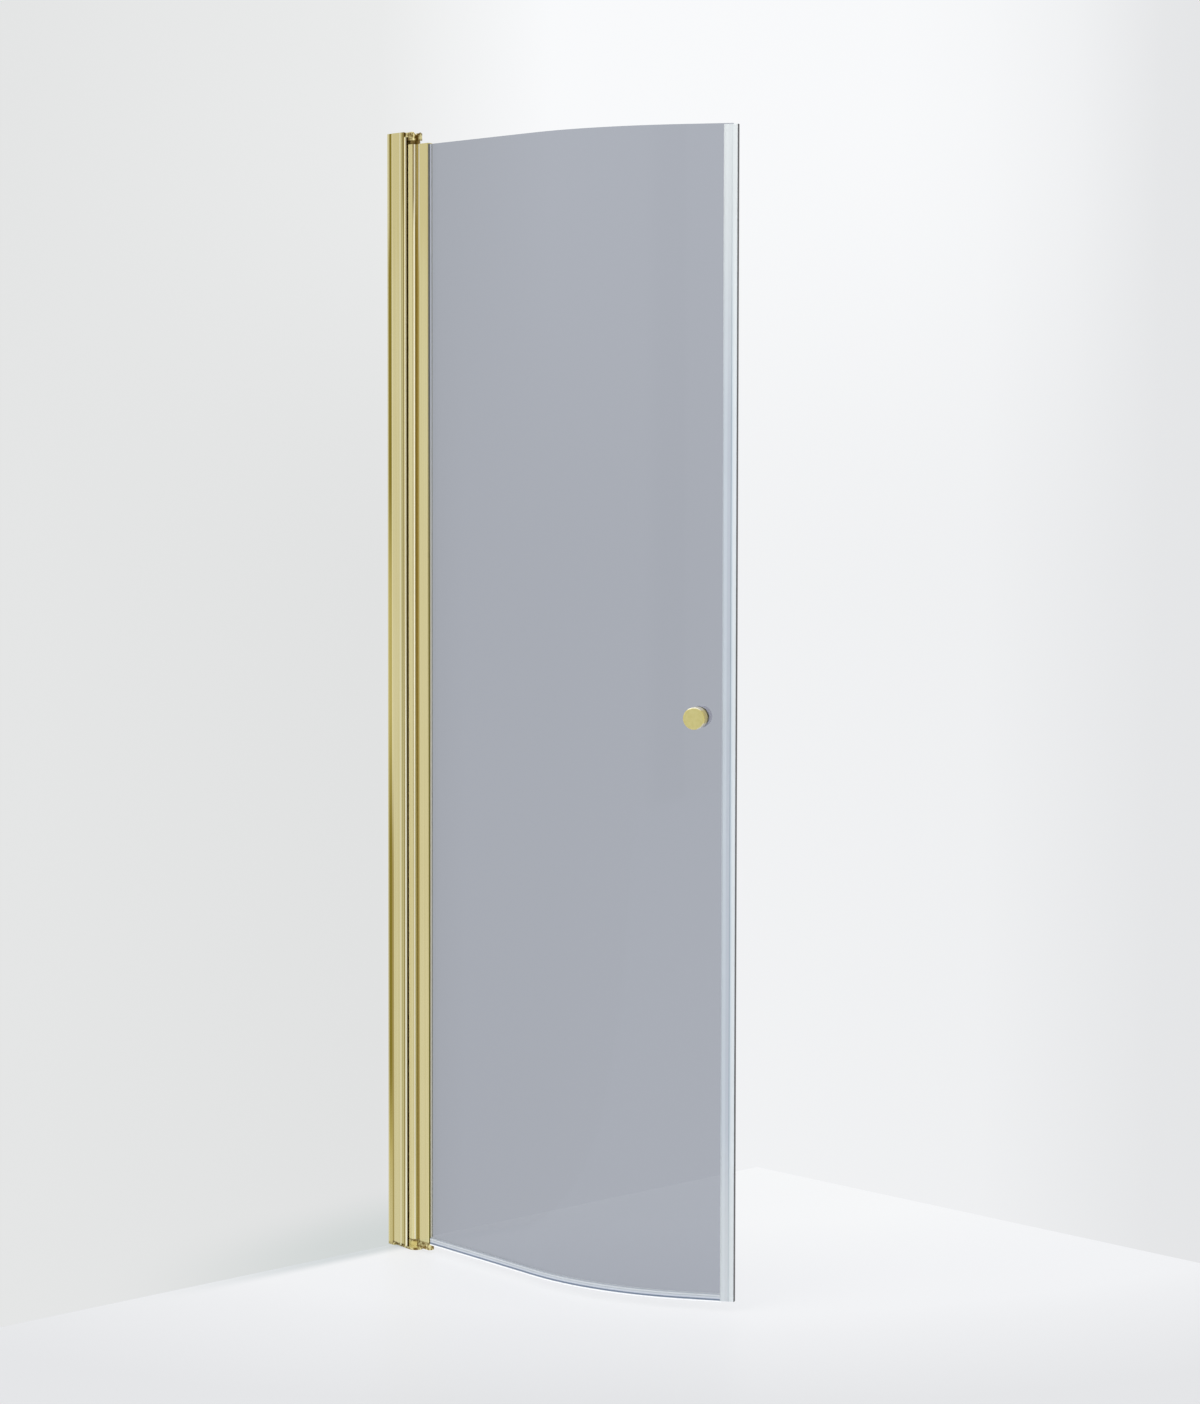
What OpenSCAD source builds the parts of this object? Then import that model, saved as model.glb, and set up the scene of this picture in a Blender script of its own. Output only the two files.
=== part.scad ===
// Hinged shower door with a curved smoked glass leaf, on a wall profile.
// X runs out from the wall, Y into the shower, Z up from the floor. All sizes in mm.

/* [Overall] */
// Height of the top of the wall profile above the floor
total_h = 2000; // [1800:10:2200]
// Flat length of the leaf from the hinge axis to the start of the bend
flat_len = 350; // [280:1:420]
// Radius of the bend at the middle of the glass
bend_r = 474; // [400:1:600]
// Slope of the closing end against the flat: its rise over its run
bend_slope = 0.75; // [0.4:0.05:1.1]
// Straight length of glass after the bend
tail_len = 82; // [75:1:140]

/* [Wall channel] */
// Width of the wall channel across the wall
channel_w = 30.4; // [26:0.1:36]
// Reach of the wall channel's flanges from the wall
channel_reach = 36; // [30:0.5:38]
// Wall thickness of the wall channel
channel_t = 1.6; // [1.2:0.1:2.5]
// Diameter of the holes for the wall screws
wall_hole_d = 5.5; // [4:0.1:6.5]
// Distance from one wall screw hole to the next
wall_hole_pitch = 560; // [400:5:580]
// Number of wall screw holes
wall_hole_count = 4; // [2:1:4]

/* [Jamb profile] */
// Distance that the jamb profile is pulled out from the wall
pull_out = 14; // [6:0.5:14]
// Width of the jamb profile, from its open side to its tips
jamb_w = 42.2; // [40:0.1:50]
// Wall thickness of the jamb profile
jamb_t = 1.6; // [1.2:0.1:2.2]
// Clearance between the wall channel and the jamb profile, each side
slide_fit = 0.2; // [0.1:0.05:0.4]
// Thickness of the block that carries the cove and the screw ports
cove_block = 11; // [10:0.5:13]
// Width of the bevel on the tips of the jamb profile
tip_w = 2.6; // [2:0.1:4]
// Depth of the bevel on the tips of the jamb profile
tip_d = 3.1; // [2:0.1:4]
// Width of the flute along the face of the jamb profile
flute_w = 3; // [2:0.1:4]
// Depth of the flute
flute_d = 0.9; // [0.2:0.05:1]
// Number of screws that clamp the jamb profile to the channel
jamb_screw_count = 3; // [2:1:5]

/* [Hinge] */
// Distance of the hinge axis beyond the tips of the jamb profile
axis_out = 6.8; // [6.5:0.1:12]
// Diameter of the hinge knuckles and lift cams
knuckle_d = 26.4; // [24:0.2:27]
// Diameter of the barrel of the door profile
barrel_d = 24; // [23:0.2:25]
// Wall thickness of the barrel
barrel_t = 1.8; // [1.4:0.1:2.2]
// Diameter of the hinge spindle and of the pivot pin
spindle_d = 10; // [8:0.5:11]
// Height that the leaf rises in a quarter turn
lift = 6; // [3:0.5:8]
// Turn of the cam valleys from the X axis
cam_turn = -45; // [-90:5:90]
// Vertical clearance between the two lift cams
cam_gap = 0.3; // [0.2:0.05:0.5]
// Radial running clearance of the spindle and the pivot pin
run_fit = 0.05; // [0.02:0.01:0.1]
// Thickness of the bottom bracket plate
bottom_plate_t = 4.5; // [4:0.5:8]
// Thickness of the top bracket plate
top_plate_t = 8; // [6:0.5:10]
// Height of the fixed head of the top bracket
head_h = 15; // [13:0.5:20]
// Depth of the V groove across the head
groove_depth = 6.2; // [3:0.1:7]
// Distance of the V groove from the hinge axis
groove_off = 4.9; // [0:0.1:6]

/* [Door profile] */
// Reach of the glazing channel from the hinge axis
glaze_reach = 48.5; // [44:0.5:60]
// Thickness of the glazing channel
glaze_w = 14.4; // [13:0.1:16]
// Thickness of each gasket beside the glass
gasket_t = 2; // [1:0.1:2.4]
// Depth of the glazing slot
slot_depth = 24; // [20:0.5:28]
// Reach of the neck from the hinge axis to the glazing channel
neck_reach = 22; // [20:0.1:26]
// Thickness of the neck between the barrel and the glazing channel
neck_w = 8; // [7.5:0.1:10]
// Width of the bevel along the lips of the glazing channel
lip_w = 0.9; // [0.6:0.1:2]
// Step by which the inner lip is shorter than the outer lip
lip_step = 5; // [1:0.5:8]

/* [Glass] */
// Thickness of the glass
glass_t = 6; // [5:0.5:8]
// Gap between the glass edge and the bottom of the glazing slot
glass_edge_gap = 3; // [2:0.5:5]
// Drop of the glass top below the top of the door profile cap
glass_drop = 2; // [1.6:0.1:4]

/* [Seals] */
// Width of the closing strip's lips on the glass
closing_lip = 15.5; // [10:0.5:18]
// Reach of the closing strip and magnet beyond the glass
closing_reach = 9.2; // [8:0.1:14]
// Thickness of the magnet strip
magnet_t = 2.4; // [1.5:0.1:3]
// Wall thickness of the clear seals
seal_t = 1.3; // [0.8:0.1:1.6]
// Height of the bottom seal's lips on the glass
seal_lip = 7.5; // [5:0.5:12]
// Drop of the bottom seal below the glass
seal_drop = 4; // [3:0.5:8]

/* [Knob] */
// Height of the knob axis above the floor
knob_z = 995; // [850:1:1150]
// Distance of the knob axis from the edge of the glass
knob_inset = 60; // [45:1:65]
// Diameter of the knob
knob_d = 37; // [28:0.5:42]
// Length of the knob from its washer to its face
knob_len = 25; // [20:0.5:32]
// Diameter of the hole in the glass
knob_hole_d = 12; // [10:0.5:14]

/* [Hidden] */
$fn = 96;
eps = 0.01;
jamb_x1 = pull_out + jamb_w;
hinge_x = jamb_x1 + axis_out;
jamb_half = channel_w / 2 + slide_fit + jamb_t;
channel_in = channel_w / 2 - channel_t;
profile_z0 = bottom_plate_t;
knuckle_r = knuckle_d / 2;
barrel_r = barrel_d / 2;
bore_r = barrel_r - barrel_t;
spindle_r = spindle_d / 2;

// Stack of the bottom hinge, from the plate up to the door profile
cam_base = 2.5;
valley_z = bottom_plate_t + cam_base;
cam_top = valley_z + cam_gap + lift + cam_base;
shoe_web = 2.2;
shoe_top = cam_top + shoe_web;
leaf_cap_t = 2;
leaf_z0 = shoe_top + leaf_cap_t;

// Stack of the top hinge, from the head down to the door profile
head_z0 = total_h - head_h;
head_clear = 1;
leaf_z1 = head_z0 - lift - head_clear;
top_cap_t = 1.5;
glass_z0 = leaf_z0;
glass_z1 = leaf_z1 - glass_drop;
top_plate_z1 = total_h - 1;
top_plate_z0 = top_plate_z1 - top_plate_t;

// Screw ports and small fixings
port_r = 1.95;
thread_fit = 0.05;
screw_head_r = 3.4;
port_in = 2.8;
port_x = jamb_x1 - cove_block + port_in;
port_y = 8;
port_gap = 0.8;
leaf_port_x = knuckle_r + screw_head_r + port_gap;
shoe_screw_len = 45;
cap_screw_len = 20;
jamb_screw_r = 1.9;
jamb_screw_shift = 2;
jamb_screw_x = (pull_out + channel_reach) / 2 + jamb_screw_shift;
jamb_screw_inset = 200;
cove_gap = 1;
cove_cut_r = knuckle_r + cove_gap;

// Glass path, from the hinge axis outwards
glass_half = glass_t / 2;
slot_half = glass_half + gasket_t;
lip_d = glaze_w / 2 - slot_half - 1;
slot_x0 = glaze_reach - slot_depth;
glass_s0 = slot_x0 + glass_edge_gap;
bead_reach = 0.9;
seal_s0 = glaze_reach + bead_reach + 0.3;
bend_deg = atan(bend_slope);
bend_len = bend_r * bend_deg * PI / 180;
path_len = flat_len + bend_len + tail_len;
seal_s1 = path_len - closing_lip - 0.3;
seal_z0 = glass_z0 - seal_drop;
strip_cut = 1.5;
strip_z0 = seal_z0 + strip_cut;
strip_z1 = glass_z1 - strip_cut;
corner_cut = 2.5;
collar_r = bore_r - 0.4;
collar_len = 19;
bush_len = 24;
pin_len = collar_len + lift + bush_len + 6;
plug_len = 40;
flat_half = spindle_r * 0.76;
arm_in = 1.4;
arm_half = glaze_w / 2 - arm_in;
arm_z0 = bottom_plate_t + 1.5;
arm_reach = glaze_reach + 1.2;
washer_t = 1;
spigot_h = 2;
circlip_t = 1;
circlip_z = bottom_plate_t - spigot_h - circlip_t - 0.2;
stud_r = 3;
stud_grip = 16;
grub_r = 2;
grub_z = 8;

// Height of the zigzag cam face above its valley at angle a: it rises evenly for a quarter
// turn each side of two opposite valleys
function cam_rise(a) = let (t = (a - cam_turn + 3600) % 180) lift * min(t, 180 - t) / 90;

// Moves its children to the hinge axis
module at_axis() {
    translate([hinge_x, 0, 0]) children();
}

// Moves its children to the edge of the glass: X runs on past the edge, Y into the shower
module at_glass_edge() {
    at_axis() translate([flat_len, 0, 0])
        translate([bend_r * sin(bend_deg), bend_r * (1 - cos(bend_deg)), 0])
            rotate([0, 0, bend_deg]) translate([tail_len, 0, 0]) children();
}

// Moves its children to the knob axis, with Z pointing out of the outer face of the glass
module at_knob() {
    at_glass_edge() translate([-knob_inset, 0, knob_z]) rotate([90, 0, 0]) children();
}

// Plan of a band that follows the glass, from side n0 to side n1 and from s0 to s1 along it
module plan_band(n0, n1, s0, s1) {
    bend_end = flat_len + bend_len;
    a0 = max(s0 - flat_len, 0) / bend_len * bend_deg;
    a1 = min(s1 - flat_len, bend_len) / bend_len * bend_deg;
    wedge = 2 * bend_r;
    if (s0 < flat_len)
        translate([s0, n0]) square([min(s1, flat_len) - s0, n1 - n0]);
    if (s1 > flat_len && s0 < bend_end)
        translate([flat_len, bend_r]) intersection() {
            difference() {
                circle(bend_r - n0, $fn = 360);
                circle(bend_r - n1, $fn = 360);
            }
            polygon([[0, 0], [wedge * sin(a0), -wedge * cos(a0)],
                [wedge * sin(a1), -wedge * cos(a1)]]);
        }
    if (s1 > bend_end)
        translate([flat_len + bend_r * sin(bend_deg), bend_r * (1 - cos(bend_deg))])
            rotate(bend_deg) translate([max(s0 - bend_end, 0), n0])
                square([s1 - max(s0, bend_end), n1 - n0]);
}

// A band of the leaf, from height z0 to z1
module leaf_band(n0, n1, s0, s1, z0, z1) {
    at_axis() translate([0, 0, z0]) linear_extrude(z1 - z0) plan_band(n0, n1, s0, s1);
}

// Outline of the door profile: barrel, neck, and glazing channel. The lips of the channel are
// bevelled, and the inner one is shorter
module profile_outline() {
    half = glaze_w / 2;
    edge_r = 1;
    inner_x = glaze_reach - lip_step;
    circle(barrel_r);
    translate([0, -neck_w / 2]) square([neck_reach + edge_r, neck_w]);
    translate([neck_reach, edge_r - half]) square([2 * edge_r, glaze_w - 2 * edge_r]);
    polygon([[neck_reach + edge_r, -half], [glaze_reach - lip_w, -half],
        [glaze_reach, lip_d - half], [glaze_reach, 0], [inner_x, 0], [inner_x, half - lip_d],
        [inner_x - lip_w, half], [neck_reach + edge_r, half]]);
    for (side = [-1, 1])
        translate([neck_reach + edge_r, side * (half - edge_r)]) circle(edge_r);
}

// Countersunk screw along +Z, with its head's top at the origin
module countersunk(r, len) {
    translate([0, 0, -len]) cylinder(r = r, h = len);
    translate([0, 0, -1.5]) cylinder(r1 = r, r2 = screw_head_r, h = 1.5);
}

// Lift cam ring: flat on one side at flat_z, with the zigzag face at face_z on the other
module cam_ring(flat_z, face_z, r_in, r_out) {
    steps = 72;
    pts = [for (i = [0:steps - 1]) let (a = i * 360 / steps + cam_turn, z = face_z + cam_rise(a))
        each [[r_in * cos(a), r_in * sin(a), flat_z], [r_out * cos(a), r_out * sin(a), flat_z],
            [r_out * cos(a), r_out * sin(a), z], [r_in * cos(a), r_in * sin(a), z]]];
    up = face_z > flat_z;
    faces = [for (i = [0:steps - 1], k = [0:3]) let (j = (i + 1) % steps, m = (k + 1) % 4,
        p = 4 * i + k, q = 4 * i + m, r = 4 * j + m, s = 4 * j + k)
        each (up ? [[p, q, r], [p, r, s]] : [[p, r, q], [p, s, r]])];
    polyhedron(pts, faces, convexity = 6);
}

// U section that is screwed to the wall
module wall_channel() {
    color("darkkhaki") difference() {
        translate([0, -channel_w / 2, profile_z0])
            cube([channel_reach, channel_w, total_h - profile_z0]);
        translate([channel_t, -channel_in, profile_z0 - eps])
            cube([channel_reach, 2 * channel_in, total_h]);
        for (i = [0:wall_hole_count - 1])
            translate([-eps, 0, total_h / 2 + (i - (wall_hole_count - 1) / 2) * wall_hole_pitch])
                rotate([0, 90, 0]) cylinder(d = wall_hole_d, h = channel_t + 2 * eps);
        jamb_screw_places() translate([0, 0, -channel_w])
            cylinder(r = jamb_screw_r + thread_fit, h = channel_w);
    }
}

// Places of the jamb screws on the shower side, with Z pointing out of the jamb profile
module jamb_screw_places() {
    span = total_h - 2 * jamb_screw_inset;
    for (i = [0:jamb_screw_count - 1])
        translate([jamb_screw_x, jamb_half, jamb_screw_inset + i * span / (jamb_screw_count - 1)])
            rotate([-90, 0, 0]) children();
}

// Section of the jamb profile: two long walls with a bevelled rim, and a block with bevelled
// tips and a cove for the barrel. A flute and a fine groove run down each face.
module jamb_section() {
    block_x = jamb_x1 - cove_block;
    seal_slot = 2;
    rim_w = 4.3;
    rim_drop = 0.9;
    in_y = jamb_half - jamb_t;
    flute_r = (pow(flute_w / 2, 2) + pow(flute_d, 2)) / (2 * flute_d);
    flute_x = jamb_x1 - tip_w - 4.7 - flute_w / 2;
    break_x = jamb_x1 - tip_w / 2;
    break_y = jamb_half - 0.42 * tip_d;
    groove_x = jamb_x1 - tip_w - 1.2;
    groove_r = 0.9;
    difference() {
        polygon([[pull_out, -in_y], [pull_out, rim_drop - jamb_half], [pull_out + rim_w, -jamb_half],
            [jamb_x1 - tip_w, -jamb_half], [break_x, -break_y], [jamb_x1, tip_d - jamb_half],
            [jamb_x1, jamb_half - tip_d], [break_x, break_y], [jamb_x1 - tip_w, jamb_half],
            [pull_out + rim_w, jamb_half], [pull_out, jamb_half - rim_drop], [pull_out, in_y],
            [block_x, in_y], [block_x, -in_y]]);
        translate([hinge_x, 0]) circle(cove_cut_r);
        for (side = [-1, 1]) {
            translate([port_x, side * port_y]) circle(port_r);
            translate([flute_x, side * (jamb_half + flute_r - flute_d)]) circle(flute_r);
            translate([groove_x, side * jamb_half]) circle(groove_r);
        }
        translate([hinge_x - cove_cut_r - 2.4, -seal_slot]) square([4, 2 * seal_slot]);
    }
}

// Jamb profile that slides over the wall channel, cut away at the top for the bracket
module jamb_profile() {
    inner = jamb_half - jamb_t;
    color("khaki") difference() {
        translate([0, 0, profile_z0]) linear_extrude(total_h - profile_z0) jamb_section();
        translate([jamb_x1 - cove_block - eps, -inner, top_plate_z0])
            cube([cove_block + 1, 2 * inner, total_h]);
        translate([jamb_x1 - tip_w, -jamb_half - 1, top_plate_z0])
            cube([tip_w + 1, 2 * jamb_half + 2, total_h]);
        jamb_screw_places() translate([0, 0, -jamb_t - 1])
            cylinder(r = jamb_screw_r + 2 * thread_fit, h = jamb_t + 2);
    }
}

// Pan-head screws that clamp the jamb profile to the channel
module jamb_screws() {
    head_r = 3.8;
    head_rise = 2.2;
    shank = jamb_t + slide_fit + channel_t + 3;
    color("goldenrod") jamb_screw_places() difference() {
        union() {
            translate([0, 0, -shank]) cylinder(r = jamb_screw_r, h = shank + eps);
            cylinder(r = head_r, h = head_rise / 2);
            translate([0, 0, head_rise / 2]) cylinder(r1 = head_r, r2 = head_r - 1, h = head_rise / 2);
        }
        for (turn = [0, 90]) rotate([0, 0, turn])
            translate([-2, -0.4, head_rise - 1.2]) cube([4, 0.8, 2]);
    }
}

// Cap under the wall channel, down to the floor, with a plug up into the channel
module channel_foot_cap() {
    cap_x = 17.5;
    plug_h = 10;
    color("khaki") {
        translate([0, -channel_w / 2, 0]) cube([cap_x, channel_w, profile_z0]);
        translate([channel_t, 0.2 - channel_in, 0])
            cube([cap_x - 4, 2 * channel_in - 0.4, profile_z0 + plug_h]);
    }
}

// Plug that closes the top of the wall channel in front of the bracket's tail
module channel_top_plug() {
    plug_h = 12;
    color("khaki") translate([channel_t, 0.2 - channel_in, total_h - plug_h]) difference() {
        cube([pull_out + 2, 2 * channel_in - 0.4, plug_h - 0.5]);
        translate([1.5, 1.5, -eps]) cube([pull_out - 1, 2 * channel_in - 3.4, plug_h - 2.5]);
    }
}

// V groove across the head, cut along the cam valleys and set off from the hinge axis
module head_groove() {
    rotate([0, 0, cam_turn]) translate([0, groove_off, total_h]) rotate([90, 0, 90])
        translate([0, 0, -knuckle_r - 1]) linear_extrude(2 * knuckle_r + 2)
            polygon([[0, -groove_depth], [groove_depth, eps], [-groove_depth, eps]]);
}

// Top bracket: tail in the jamb profile, plate over the cove block, and round fixed head
module top_bracket() {
    tail_x = pull_out + channel_t + 2.2;
    block_x = jamb_x1 - cove_block;
    side = jamb_half - jamb_t - 0.2;
    edge = 2.5;
    color("khaki") difference() {
        union() {
            translate([tail_x, 0.3 - channel_in, top_plate_z0])
                cube([block_x - tail_x + 1, 2 * channel_in - 0.6, top_plate_t]);
            translate([tail_x + 4, 0.6 - channel_in, top_plate_z0 - 18])
                cube([block_x - tail_x - 4.3, 2 * channel_in - 1.2, 19]);
            translate([0, 0, top_plate_z0]) linear_extrude(top_plate_t)
                polygon([[block_x, -side], [jamb_x1, -side], [hinge_x, -knuckle_r],
                    [hinge_x, knuckle_r], [jamb_x1, side], [block_x, side]]);
            at_axis() translate([0, 0, head_z0]) cylinder(r = knuckle_r, h = head_h - edge);
            at_axis() translate([0, 0, total_h - edge])
                cylinder(r1 = knuckle_r, r2 = knuckle_r - edge, h = edge);
        }
        at_axis() translate([0, 0, head_z0 - eps]) cylinder(r = spindle_r, h = 8);
        at_axis() head_groove();
        for (s = [-1, 1]) translate([port_x, s * port_y, top_plate_z1 + eps])
            countersunk(port_r + thread_fit, top_plate_t + 1);
    }
}

// Steel pin pressed into the head, on which the top of the leaf turns and slides
module top_pivot_pin() {
    tip = 1;
    color("silver") at_axis() {
        translate([0, 0, head_z0 - pin_len + tip]) cylinder(r = spindle_r, h = pin_len + 8 - tip - eps);
        translate([0, 0, head_z0 - pin_len]) cylinder(r1 = spindle_r - tip, r2 = spindle_r, h = tip);
    }
}

// Turned collar under the head, over which the end of the barrel rises
module top_collar() {
    groove = 0.8;
    color("darkgoldenrod") at_axis() translate([0, 0, head_z0 - collar_len]) difference() {
        cylinder(r = collar_r, h = collar_len);
        translate([0, 0, -eps]) cylinder(r = spindle_r, h = collar_len + 1);
        for (drop = [1.6, 4.6]) translate([0, 0, collar_len - drop - groove]) difference() {
            cylinder(r = collar_r + 1, h = groove);
            translate([0, 0, -eps]) cylinder(r = collar_r - groove, h = groove + 2 * eps);
        }
    }
}

// Bottom bracket: tongue up inside the profiles, tapered plate and round eye
module bottom_bracket() {
    tail_x = 18;
    tail_half = 9.5;
    tongue_h = 40;
    block_x = jamb_x1 - cove_block;
    color("khaki") difference() {
        union() {
            linear_extrude(bottom_plate_t)
                polygon([[tail_x, -tail_half], [hinge_x, -knuckle_r],
                    [hinge_x, knuckle_r], [tail_x, tail_half]]);
            at_axis() cylinder(r = knuckle_r, h = bottom_plate_t);
            translate([tail_x + 6, -tail_half, 0])
                cube([block_x - tail_x - 6.3, 2 * tail_half, profile_z0 + tongue_h]);
        }
        at_axis() translate([0, 0, -eps]) cylinder(r = spindle_r + 3, h = bottom_plate_t + 1);
        for (s = [-1, 1]) translate([port_x, s * port_y, -eps]) mirror([0, 0, 1])
            countersunk(port_r + thread_fit, bottom_plate_t + 1);
    }
}

// Countersunk screws that hold the brackets to the screw ports of the jamb profile
module bracket_screws() {
    screw_len = 32;
    color("goldenrod") for (s = [-1, 1]) {
        translate([port_x, s * port_y, top_plate_z1]) countersunk(port_r - thread_fit, screw_len);
        translate([port_x, s * port_y, 0]) mirror([0, 0, 1])
            countersunk(port_r - thread_fit, screw_len);
    }
}

// Fixed lift cam, with a spigot in the eye of the bottom bracket
module lower_lift_cam() {
    color("gold") at_axis() difference() {
        union() {
            cam_ring(bottom_plate_t, valley_z, spindle_r - 1, knuckle_r);
            translate([0, 0, bottom_plate_t - spigot_h])
                cylinder(r = spindle_r + 3, h = spigot_h + cam_base / 2);
        }
        cylinder(r = spindle_r + run_fit, h = cam_top);
    }
}

// Lift cam of the leaf: its teeth sit in the valleys of the fixed cam
module upper_lift_cam() {
    color("gold") at_axis() difference() {
        cam_ring(cam_top, valley_z + cam_gap, spindle_r - 1, knuckle_r);
        cylinder(r = spindle_r + 0.4, h = cam_top + 1);
    }
}

// Rubber strip in the cove of the jamb profile, which closes the gap at the barrel
module hinge_seal() {
    base_x = hinge_x - cove_cut_r - 2.4;
    tip_x = hinge_x - barrel_r - 0.5;
    seal_z1 = leaf_z1 - 2;
    seal_from = shoe_top + lift + 0.5;
    color("dimgray") translate([0, 0, seal_from]) linear_extrude(seal_z1 - seal_from) {
        translate([base_x, -1.9]) square([2.2, 3.8]);
        translate([base_x + 1, -0.9]) square([tip_x - base_x - 2, 1.8]);
        translate([tip_x - 1.2, 0]) circle(1.2);
    }
}

// Spindle that turns with the leaf: round in the fixed cam, with two flats in the shoe
module lower_spindle() {
    foot_z = 0.4;
    flats_z = cam_top - 1.8;
    groove_r = spindle_r - 0.7;
    color("silver") at_axis() difference() {
        union() {
            translate([0, 0, foot_z]) cylinder(r = spindle_r, h = flats_z - foot_z);
            translate([0, 0, flats_z - eps]) linear_extrude(shoe_top + plug_len - flats_z)
                spindle_flats(0);
        }
        translate([0, 0, circlip_z]) difference() {
            cylinder(r = spindle_r + 1, h = circlip_t);
            translate([0, 0, -eps]) cylinder(r = groove_r, h = circlip_t + 1);
        }
    }
}

// Section of the spindle with its two flats, larger all round by fit
module spindle_flats(fit) {
    half = flat_half + fit;
    intersection() {
        circle(spindle_r + fit);
        translate([-spindle_r - 1, -half]) square([2 * spindle_r + 2, 2 * half]);
    }
}

// Open ring that keeps the spindle in the fixed cam
module spindle_circlip() {
    color("dimgray") at_axis() translate([0, 0, circlip_z]) difference() {
        cylinder(r = spindle_r + 1.6, h = circlip_t);
        translate([0, 0, -eps]) cylinder(r = spindle_r - 0.7, h = circlip_t + 1);
        translate([0, -1.2, -eps]) cube([spindle_r + 3, 2.4, circlip_t + 1]);
    }
}

// Door profile: barrel, neck with the screw port, and glazing channel in one extrusion
module door_profile() {
    color("khaki") at_axis() translate([0, 0, leaf_z0])
        linear_extrude(leaf_z1 - top_cap_t - leaf_z0) difference() {
            profile_outline();
            circle(bore_r);
            translate([leaf_port_x, 0]) circle(port_r);
            translate([slot_x0, -slot_half]) square([slot_depth + 1, 2 * slot_half]);
        }
}

// Plastic bush in the barrel, which runs on the pivot pin
module top_bush() {
    bush_z1 = head_z0 - collar_len - lift - 0.6;
    color("dimgray") at_axis() translate([0, 0, bush_z1 - bush_len]) difference() {
        cylinder(r = bore_r, h = bush_len);
        translate([0, 0, -eps]) cylinder(r = spindle_r + run_fit, h = bush_len + 1);
    }
}

// Shoe under the leaf: ring over the cam, plug up into the barrel, and arm under the channel
module bottom_shoe() {
    arm_top = seal_z0 - 0.3;
    color("khaki") at_axis() difference() {
        union() {
            translate([0, 0, cam_top]) cylinder(r = knuckle_r, h = shoe_web);
            translate([0, 0, shoe_top - eps]) cylinder(r = bore_r - 0.05, h = plug_len);
            translate([0, -arm_half, cam_top]) cube([glaze_reach - 1, 2 * arm_half, shoe_web]);
            translate([0, -arm_half, arm_z0])
                cube([arm_reach - arm_half, 2 * arm_half, arm_top - arm_z0]);
            translate([arm_reach - arm_half, 0, arm_z0])
                cylinder(r = arm_half, h = arm_top - arm_z0);
            translate([knuckle_r + 1, -arm_half, arm_z0])
                cube([glaze_reach - knuckle_r - 2, 2 * arm_half, shoe_top - arm_z0]);
        }
        translate([0, 0, arm_z0 - 1]) cylinder(r = knuckle_r + 0.4, h = cam_top - arm_z0 + 1);
        translate([0, 0, cam_top - 1]) linear_extrude(plug_len + 10) spindle_flats(run_fit);
        translate([leaf_port_x, 0, arm_z0 - eps]) mirror([0, 0, 1])
            countersunk(port_r + thread_fit, shoe_top - arm_z0 + 1);
    }
}

// Screws up through the shoe and down through the top cap, into the leaf's screw port
module profile_screws() {
    color("goldenrod") at_axis() {
        translate([leaf_port_x, 0, arm_z0]) mirror([0, 0, 1])
            countersunk(port_r - thread_fit, shoe_screw_len);
        translate([leaf_port_x, 0, leaf_z1]) countersunk(port_r - thread_fit, cap_screw_len);
    }
}

// Thin cap on the top end of the door profile
module leaf_top_cap() {
    color("khaki") at_axis() translate([0, 0, leaf_z1 - top_cap_t]) difference() {
        linear_extrude(top_cap_t) difference() {
            profile_outline();
            circle(bore_r);
        }
        translate([leaf_port_x, 0, top_cap_t + eps]) countersunk(port_r + thread_fit, top_cap_t + 1);
    }
}

// Packer between the shoe and the bottom end of the door profile, on which the glass stands
module leaf_bottom_cap() {
    color("darkolivegreen") at_axis() translate([0, 0, shoe_top]) linear_extrude(leaf_cap_t)
        difference() {
            profile_outline();
            circle(bore_r);
            translate([leaf_port_x, 0]) circle(port_r + thread_fit);
        }
}

// Smoked glass, with its hole for the knob and its two free corners cut off
module glass_pane() {
    color([0.45, 0.46, 0.5, 0.55]) difference() {
        leaf_band(-glass_half, glass_half, glass_s0, path_len, glass_z0, glass_z1);
        at_knob() translate([0, 0, -glass_t]) cylinder(d = knob_hole_d, h = 2 * glass_t);
        for (z = [glass_z0, glass_z1]) at_glass_edge() translate([0, 0, z]) rotate([0, 45, 0])
            cube([corner_cut * sqrt(2), glass_t + 2, corner_cut * sqrt(2)], center = true);
    }
}

// Rubber gasket between the glass and one wall of the glazing channel, with its bead
module gasket(side) {
    lip_x = glaze_reach - (side > 0 ? lip_step : 0);
    color("dimgray") at_axis() translate([0, 0, glass_z0]) linear_extrude(glass_z1 - glass_z0)
        mirror([0, side > 0 ? 0 : 1])
            polygon([[glass_s0, glass_half], [lip_x + bead_reach, glass_half],
                [lip_x + bead_reach, glass_half + 0.6], [lip_x + 0.3, slot_half + 1],
                [lip_x + 0.05, slot_half + 1], [lip_x + 0.05, slot_half],
                [glass_s0, slot_half]]);
}

module outer_gasket() {
    gasket(-1);
}

module inner_gasket() {
    gasket(1);
}

// Rubber blocks between the edge of the glass and the bottom of the glazing slot
module setting_blocks() {
    block_h = 40;
    inset = 150;
    color("dimgray") for (z = [glass_z0 + inset, (glass_z0 + glass_z1) / 2, glass_z1 - inset])
        at_axis() translate([slot_x0, 0.3 - slot_half, z - block_h / 2])
            cube([glass_edge_gap, 2 * slot_half - 0.6, block_h]);
}

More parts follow.
